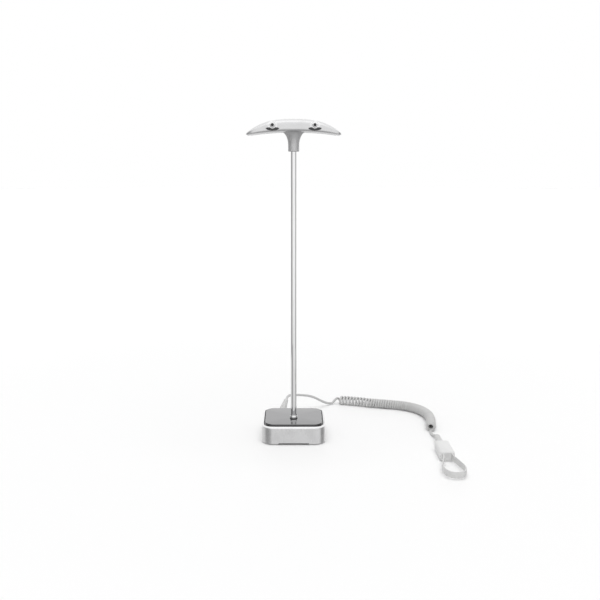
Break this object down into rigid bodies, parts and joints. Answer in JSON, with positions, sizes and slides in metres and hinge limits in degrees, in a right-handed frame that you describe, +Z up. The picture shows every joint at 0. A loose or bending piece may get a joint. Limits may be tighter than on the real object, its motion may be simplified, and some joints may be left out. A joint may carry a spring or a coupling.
{
  "type": "headphone display stand",
  "caption": "Square weighted base, slim rod and arched saddle that hold a headband, with a curly tether from the back of the base to a strap-on sensor.",
  "frame": {"origin": "centre of the square base on the table that it stands on", "axes": "+Z up along the rod, +X along the saddle's length to the viewer's right, -Y towards the viewer"},
  "size_m": [0.1583, 0.1951, 0.2515],
  "materials": {
    "housing": "satin anodised with a bright chamfer",
    "gasket": "matt black",
    "plate": "polished grey",
    "ballast": "dark, as cast",
    "cover": "fine spark texture",
    "pad": "matt foam",
    "board": "solder mask",
    "buzzer": "moulded",
    "cell": "foil pouch",
    "fastener": "zinc plated",
    "chrome": "polished",
    "saddle": "satin silver",
    "brass": "turned",
    "boot": "soft white moulding",
    "cord": "satin pale grey-white jacket",
    "sensor": "fine white moulding",
    "strap": "flexible white band"
  },
  "bodies": {
    "stand": {"base_housing": "housing", "plate_gasket": "gasket", "top_plate": "plate", "ballast_block": "ballast", "bottom_cover": "cover", "cover_screw_1": "fastener", "cover_screw_2": "fastener", "cover_screw_3": "fastener", "cover_screw_4": "fastener", "foot_pad": "pad", "alarm_board": "board", "buzzer": "buzzer", "battery_cell": "cell", "foot_collar": "chrome", "foot_o_ring": "gasket", "support_rod": "chrome", "rod_washer": "fastener", "rod_nut": "fastener", "outlet_boot": "boot", "cord_anchor": "brass", "lead_cord": "cord", "curly_cord": "cord", "tail_cord": "cord", "sensor_boot": "boot", "sensor_lower_shell": "sensor", "sensor_upper_shell": "sensor", "sensor_board": "board", "strap_lock": "fastener", "strap_loop": "strap"},
    "saddle": {"saddle_body": "saddle", "saddle_rear_cover": "saddle", "saddle_screw_left": "chrome", "saddle_screw_right": "chrome", "neck_set_screw": "fastener"}
  },
  "joints": [
    {"name": "saddle_swivel", "type": "hinge", "parent": "stand", "child": "saddle", "pos_m": [0, -0.006, 0.235], "axis": [0, 0, 1], "range_deg": [-90, 90]}
  ]
}
